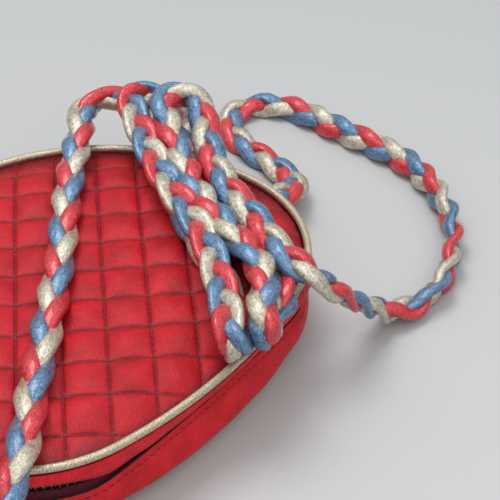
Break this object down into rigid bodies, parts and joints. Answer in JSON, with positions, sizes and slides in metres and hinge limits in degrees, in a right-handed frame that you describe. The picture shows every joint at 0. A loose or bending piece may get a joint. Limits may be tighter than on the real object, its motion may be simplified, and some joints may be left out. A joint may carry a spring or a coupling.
{
  "type": "crossbody bag",
  "caption": "Small zip-top crossbody bag in red leather with a quilted front, piped edges and a braided leather strap wound up on top.",
  "frame": {"origin": "under the middle of the back panel, on the surface the bag lies on", "axes": "+Z from the back panel to the quilted front; +Y towards the zip edge; +X towards the closed end of the zip"},
  "size_m": [0.3193, 0.1829, 0.061],
  "materials": {
    "red_leather": "pebbled grain, soft sheen",
    "champagne_leather": "metallic foil on fine grain",
    "wine_fabric": "matt woven tape and lining",
    "pale_brass": "satin",
    "strap_leather": "three rolled leather strands, red, metallic blue and metallic champagne"
  },
  "bodies": {
    "bag": {"front_panel": "red_leather", "back_panel": "red_leather", "front_lining": "wine_fabric", "back_lining": "wine_fabric", "front_piping": "champagne_leather", "back_piping": "champagne_leather", "front_zip_gusset": "red_leather", "back_zip_gusset": "red_leather", "foot_gusset": "red_leather", "front_zip_tape": "wine_fabric", "back_zip_tape": "wine_fabric", "zip_teeth": "pale_brass", "zip_top_stop": "pale_brass", "zip_bottom_stop": "pale_brass", "zip_end_patch": "wine_fabric", "left_tab": "red_leather", "right_tab": "red_leather", "left_upper_rivet": "pale_brass", "left_lower_rivet": "pale_brass", "right_upper_rivet": "pale_brass", "right_lower_rivet": "pale_brass", "strap_left_run": "strap_leather", "strap_right_run": "strap_leather", "strap_hank": "strap_leather"},
    "slider": {"zip_slider": "pale_brass"},
    "puller": {"zip_puller": "pale_brass"}
  },
  "joints": [
    {"name": "zip_slide", "type": "hinge", "parent": "bag", "child": "slider", "pos_m": [0.03545, 0.017, 0.023], "axis": [0, 0, 1], "range_deg": [0, 32]},
    {"name": "puller_flip", "type": "hinge", "parent": "slider", "child": "puller", "pos_m": [0.08486, 0.04616, 0.02162], "axis": [0.1241, 0.0732, 0.9896], "range_deg": [0, 165]}
  ]
}
